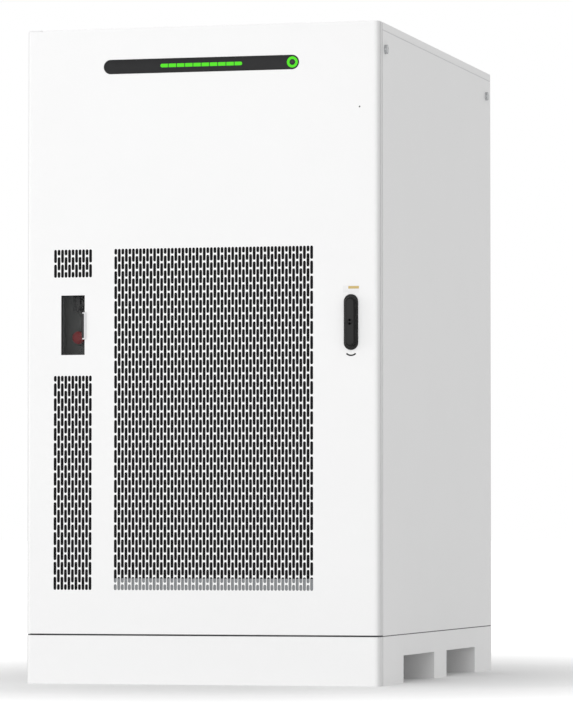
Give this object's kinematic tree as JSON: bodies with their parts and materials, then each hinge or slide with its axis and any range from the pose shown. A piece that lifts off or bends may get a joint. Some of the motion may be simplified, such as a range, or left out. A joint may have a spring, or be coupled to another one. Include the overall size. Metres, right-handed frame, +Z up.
{
  "type": "battery cabinet",
  "caption": "Floor-standing battery storage cabinet with a full-height vented door, swing handle, status light bar and fork-lift pockets in its plinth.",
  "frame": {"origin": "on the floor at the middle of the housing, between the door's face and the rear panel", "axes": "+Z up, +X to the right seen from the front, +Y to the back; the door faces -Y"},
  "size_m": [1.126, 1.639, 2],
  "materials": {
    "cabinet_white": "fine powder coat, satin",
    "frame_grey": "satin powder coat",
    "module_dark": "matt powder coat",
    "galvanised": "zinc plated",
    "black_plastic": "fine-grained moulding",
    "black_metal": "black powder coat",
    "lens": "dark tinted, glossy",
    "green_light": "emissive",
    "stop_red": "glossy",
    "yellow": "moulded",
    "clear": "clear polycarbonate",
    "rubber": "foam",
    "filter": "coarse fibre mat",
    "copper": "bare copper strap",
    "steel": "turned",
    "chrome": "plated"
  },
  "bodies": {
    "cabinet": {"base_rails": "frame_grey", "battery_modules": "module_dark", "bay_partition": "frame_grey", "bus_links": "copper", "cable_trunking": "black_plastic", "control_panel": "frame_grey", "control_unit": "module_dark", "corner_posts": "frame_grey", "door_pivots": "galvanised", "door_seal": "rubber", "fan_frames": "black_plastic", "fork_tunnels": "cabinet_white", "latch_keepers": "galvanised", "main_breaker": "black_plastic", "module_handles": "black_plastic", "plinth_beams": "frame_grey", "plinth_deck": "frame_grey", "plinth_front_cover": "cabinet_white", "plinth_rear_cover": "cabinet_white", "plinth_side_covers": "cabinet_white", "rack_shelves": "galvanised", "rack_uprights": "galvanised", "rear_panel": "cabinet_white", "roof_panel": "cabinet_white", "selector_base": "black_plastic", "side_lock_collars": "chrome", "side_panel_left": "cabinet_white", "side_panel_right": "cabinet_white", "stop_collar": "yellow", "top_rails": "frame_grey"},
    "door": {"door_skin": "cabinet_white", "door_bushings": "steel", "door_stiffeners": "frame_grey", "filter_frames": "frame_grey", "filter_mats": "filter", "window_frame": "black_plastic", "light_bar": "lens", "light_segments": "green_light", "ring_light": "green_light", "indicator_board": "black_plastic", "handle_plate": "black_metal", "rod_guides": "galvanised", "lock_gearbox": "galvanised"},
    "handle_rotor": {"handle_rotor": "steel"},
    "lever": {"handle_lever": "black_metal"},
    "lock_insert": {"lock_bit": "chrome"},
    "upper_rod": {"latch_rod_upper": "steel"},
    "lower_rod": {"latch_rod_lower": "steel"},
    "flap": {"window_flap": "clear"},
    "button": {"power_button": "black_plastic"},
    "stop": {"stop_button": "stop_red"},
    "selector": {"selector_knob": "black_plastic"},
    "toggle": {"breaker_toggle": "black_plastic"},
    "lock_left_front": {"side_lock_left_front": "chrome"},
    "lock_left_rear": {"side_lock_left_rear": "chrome"},
    "lock_right_front": {"side_lock_right_front": "chrome"},
    "lock_right_rear": {"side_lock_right_rear": "chrome"},
    "fan_1": {"fan_rotor_1": "black_plastic"},
    "fan_2": {"fan_rotor_2": "black_plastic"},
    "fan_3": {"fan_rotor_3": "black_plastic"}
  },
  "joints": [
    {"name": "door_hinge", "type": "hinge", "parent": "cabinet", "child": "door", "pos_m": [-0.541, -0.794, 1], "axis": [0, 0, -1], "range_deg": [0, 120]},
    {"name": "handle_turn", "type": "hinge", "parent": "door", "child": "handle_rotor", "pos_m": [0.4683, -0.81, 1.15], "axis": [0, 1, 0], "range_deg": [0, 90]},
    {"name": "lever_lift", "type": "hinge", "parent": "handle_rotor", "child": "lever", "pos_m": [0.4683, -0.8214, 1.15], "axis": [-1, 0, 0], "range_deg": [0, 20]},
    {"name": "key_turn", "type": "hinge", "parent": "lever", "child": "lock_insert", "pos_m": [0.4683, -0.822, 1.092], "axis": [0, 1, 0], "range_deg": [0, 90]},
    {"name": "upper_rod_slide", "type": "slide", "parent": "door", "child": "upper_rod", "axis": [0, 0, 1], "range_m": [-0.0189, 0]},
    {"name": "lower_rod_slide", "type": "slide", "parent": "door", "child": "lower_rod", "axis": [0, 0, 1], "range_m": [0, 0.0189]},
    {"name": "flap_hinge", "type": "hinge", "parent": "door", "child": "flap", "pos_m": [-0.4388, -0.8052, 1.093], "axis": [0, 0, -1], "range_deg": [0, 90]},
    {"name": "button_press", "type": "slide", "parent": "door", "child": "button", "axis": [0, 1, 0], "range_m": [0, 0.0012], "stiffness_N_per_m": 800},
    {"name": "stop_press", "type": "slide", "parent": "cabinet", "child": "stop", "axis": [0, 1, 0], "range_m": [0, 0.004], "stiffness_N_per_m": 1500},
    {"name": "selector_turn", "type": "hinge", "parent": "cabinet", "child": "selector", "pos_m": [-0.4063, -0.74, 1.163], "axis": [0, 1, 0], "range_deg": [0, 90]},
    {"name": "toggle_throw", "type": "hinge", "parent": "cabinet", "child": "toggle", "pos_m": [-0.4063, -0.742, 1.33], "axis": [1, 0, 0], "range_deg": [0, 50]},
    {"name": "lock_left_front_turn", "type": "hinge", "parent": "cabinet", "child": "lock_left_front", "pos_m": [-0.555, -0.7282, 1.9205], "axis": [-1, 0, 0], "range_deg": [0, 90]},
    {"name": "lock_left_rear_turn", "type": "hinge", "parent": "cabinet", "child": "lock_left_rear", "pos_m": [-0.555, 0.738, 1.9205], "axis": [1, 0, 0], "range_deg": [0, 90]},
    {"name": "lock_right_front_turn", "type": "hinge", "parent": "cabinet", "child": "lock_right_front", "pos_m": [0.555, -0.7282, 1.9205], "axis": [-1, 0, 0], "range_deg": [0, 90]},
    {"name": "lock_right_rear_turn", "type": "hinge", "parent": "cabinet", "child": "lock_right_rear", "pos_m": [0.555, 0.738, 1.9205], "axis": [1, 0, 0], "range_deg": [0, 90]},
    {"name": "fan_1_spin", "type": "hinge", "parent": "cabinet", "child": "fan_1", "pos_m": [-0.26, 0.783, 1.7], "axis": [0, 1, 0], "continuous": true},
    {"name": "fan_2_spin", "type": "hinge", "parent": "cabinet", "child": "fan_2", "pos_m": [0, 0.783, 1.7], "axis": [0, 1, 0], "continuous": true},
    {"name": "fan_3_spin", "type": "hinge", "parent": "cabinet", "child": "fan_3", "pos_m": [0.26, 0.783, 1.7], "axis": [0, 1, 0], "continuous": true}
  ],
  "couplings": [
    {"joint": "upper_rod_slide", "follows": "handle_turn", "m_per_rad": -0.012},
    {"joint": "lower_rod_slide", "follows": "handle_turn", "m_per_rad": 0.012}
  ]
}
